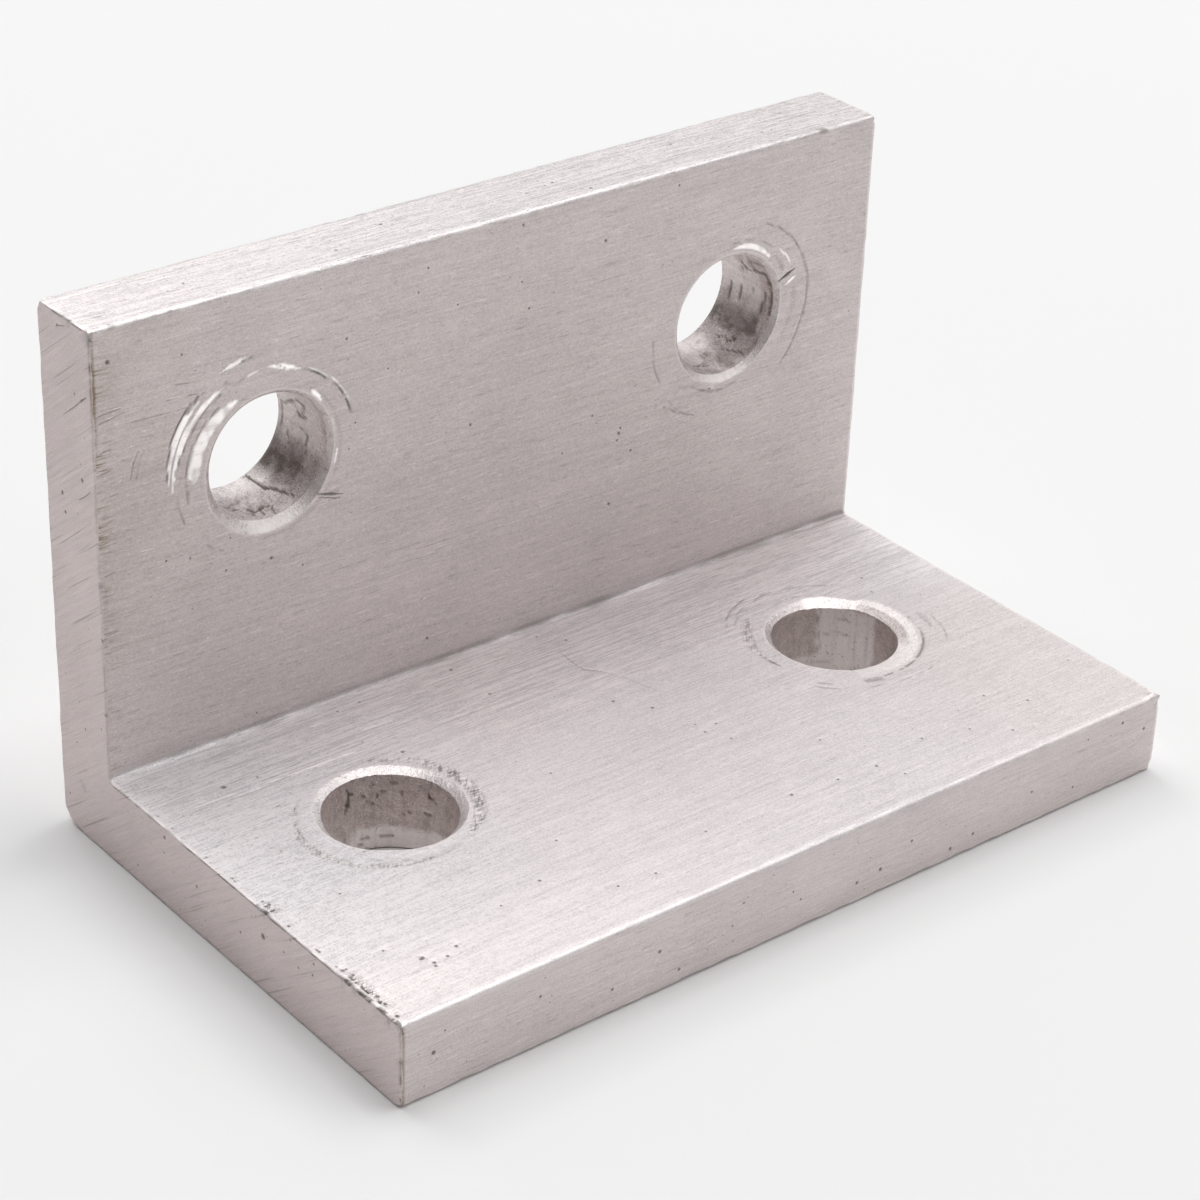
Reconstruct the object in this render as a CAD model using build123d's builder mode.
from build123d import *
import os

# T-slot corner bracket: a short length of aluminium angle, sawn off the bar,
# drilled with a pair of bolt holes in each leg and deburred by hand.
#
# Sizes are in millimetres. X runs along the bar, the base lies flat with its tip
# towards -Y, and the wall stands on the +Y side. The origin is the middle of the
# base's underside.

# Bar section
base_depth = 30.0
wall_height = 29.6
leg_thickness = 4.7
heel_radius = 1.0
root_radius = 0.3
tip_radius = 0.2

# Sawn length, and the break left on the edges of both saw cuts
cut_length = 50.2
saw_edge_break = 0.12

# Bolt holes: the base's from the wall's outer face, the wall's from the underside
bolt_bore = 7.0
bolt_spacing = 30.0
base_hole_setback = 15.0
wall_hole_height = 20.0

# Deburred rims: the widths of the cones at the inner faces and of the breaks outside
left_rim_width = 0.45
right_rim_width = 0.65
outer_rim_width = 0.25
rim_cone_angle = 90.0

# The section's outline, from the base's tip round the underside and heel to the wall's top
tip_y = -base_depth / 2
outer_y = base_depth / 2
inner_y = outer_y - leg_thickness
outline = [
    (tip_y, leg_thickness),
    (tip_y, 0),
    (outer_y, 0),
    (outer_y, wall_height),
    (inner_y, wall_height),
    (inner_y, leg_thickness),
]
corner_radii = [tip_radius, tip_radius, heel_radius, tip_radius, tip_radius, root_radius]

# The planes that the holes are drilled from, each centred on its pair of holes
base_drilling = Plane(origin=(0, outer_y - base_hole_setback, leg_thickness), z_dir=(0, 0, 1))
wall_drilling = Plane(origin=(0, inner_y, wall_hole_height), x_dir=(1, 0, 0), z_dir=(0, -1, 0))

with BuildPart() as bracket:
    # The angle, sawn square at both ends
    with BuildSketch(Plane.YZ):
        with BuildLine():
            FilletPolyline(*outline, radius=corner_radii, close=True)
        make_face()
    extrude(amount=cut_length / 2, both=True)
    saw_cuts = bracket.faces().filter_by(Axis.X)
    chamfer(saw_cuts.edges(), length=saw_edge_break)

    # The bolt holes, each with a coned rim where its bolt head seats
    for drilling in (base_drilling, wall_drilling):
        for hole_x, rim_width in (
            (-bolt_spacing / 2, left_rim_width),
            (bolt_spacing / 2, right_rim_width),
        ):
            with Locations(drilling):
                with Locations((hole_x, 0)):
                    CounterSinkHole(
                        radius=bolt_bore / 2,
                        counter_sink_radius=bolt_bore / 2 + rim_width,
                        counter_sink_angle=rim_cone_angle,
                    )

    # The lighter break on the rims of the two mating faces
    underside = bracket.faces().sort_by(Axis.Z)[0]
    back = bracket.faces().sort_by(Axis.Y)[-1]
    for mating_face in (underside, back):
        rims = mating_face.edges().filter_by(GeomType.CIRCLE)
        chamfer(rims, length=outer_rim_width)

bracket.part.label = "corner_bracket"

os.makedirs("parts", exist_ok=True)
export_step(bracket.part, "parts/corner_bracket.step")
